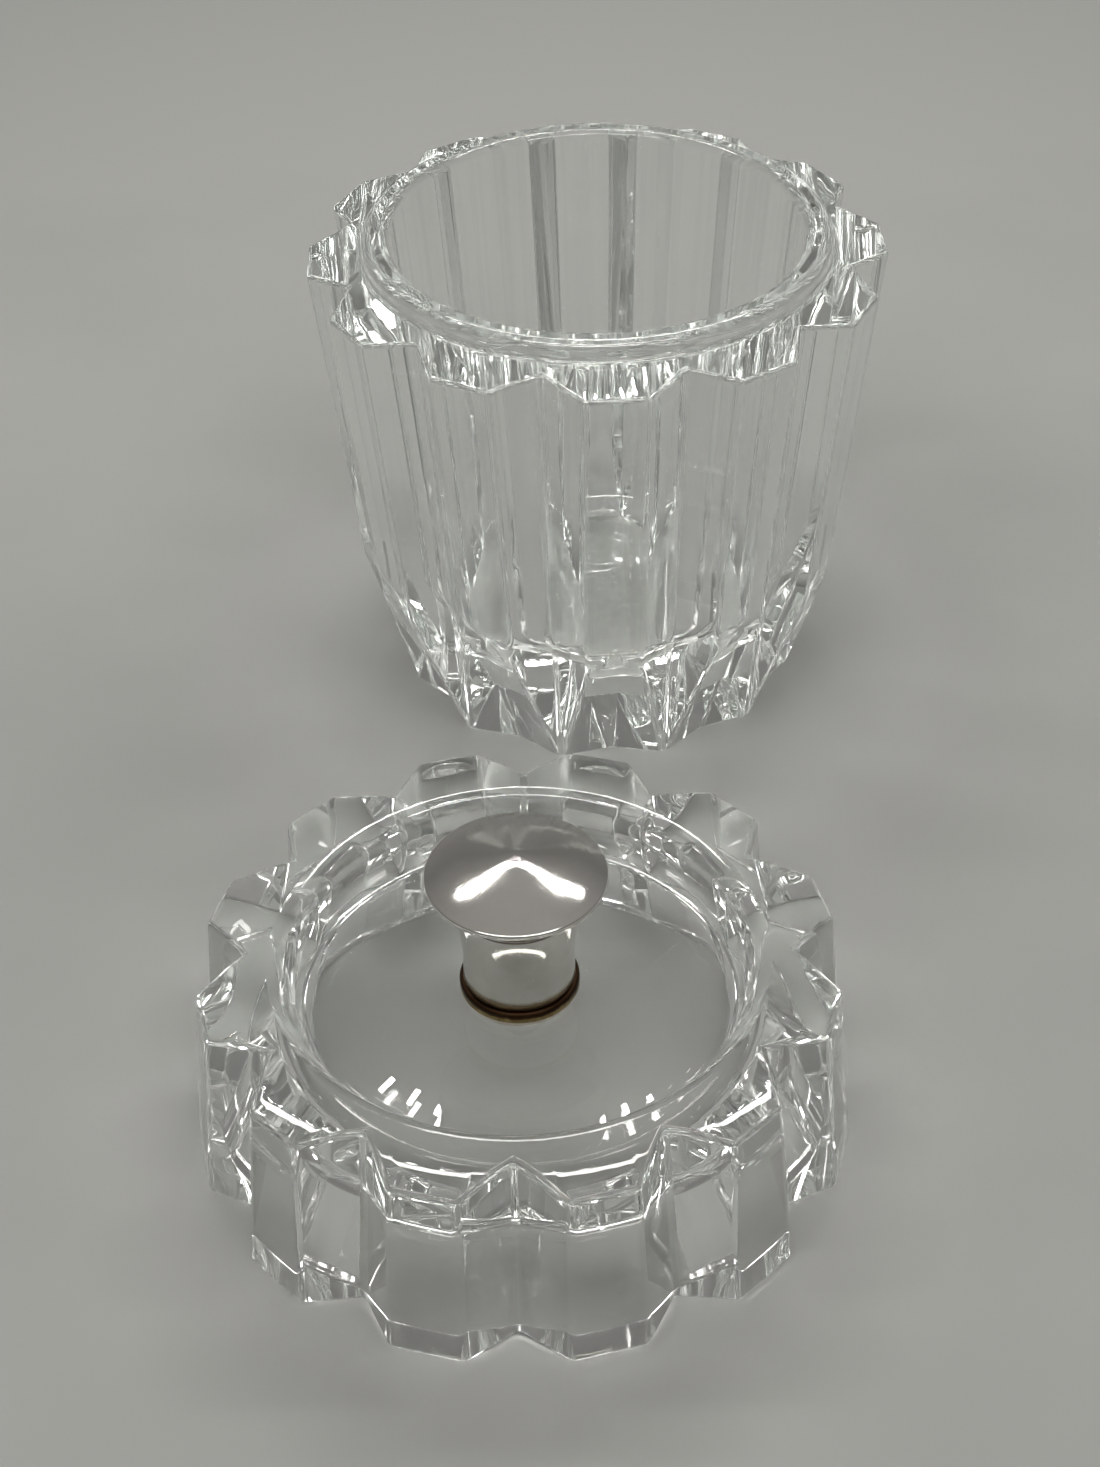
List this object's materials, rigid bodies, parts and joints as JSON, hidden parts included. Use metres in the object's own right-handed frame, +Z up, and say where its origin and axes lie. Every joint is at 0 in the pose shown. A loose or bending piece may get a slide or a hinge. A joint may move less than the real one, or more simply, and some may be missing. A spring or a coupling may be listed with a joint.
{
  "type": "lidded glass jar",
  "caption": "Clear crystal jar with tapering lobed sides and a raised mouth collar, with its thick lobed lid and round silver knob set down in front of it.",
  "frame": {"origin": "centre of the flat underside of the jar's foot, on the surface it stands on", "axes": "+Z up along the jar's axis; -Y towards the lid, which lies in front of the jar; +X to the right seen from the front"},
  "size_m": [0.119, 0.2258, 0.0908],
  "materials": {
    "crystal": "clear crystal glass, polished smooth all over, faint cool tint in the thick parts",
    "silver_plate": "polished silver plate with faint handling haze",
    "aged_brass": "dull brass with brown tarnish",
    "steel": "plain zinc-grey",
    "soft_washer": "matt translucent off-white"
  },
  "bodies": {
    "jar_body": {"jar": "crystal"},
    "lid_body": {"lid": "crystal", "knob_pad": "soft_washer", "collar_ring": "aged_brass", "knob_stem": "silver_plate", "knob_cap": "silver_plate", "knob_boss": "aged_brass", "screw_pad": "soft_washer", "screw_washer": "steel", "fixing_screw": "steel"}
  },
  "joints": [
    {"name": "lid_lift", "type": "slide", "parent": "jar_body", "child": "lid_body", "axis": [0, 0, 1], "range_m": [0, 0.1]}
  ]
}
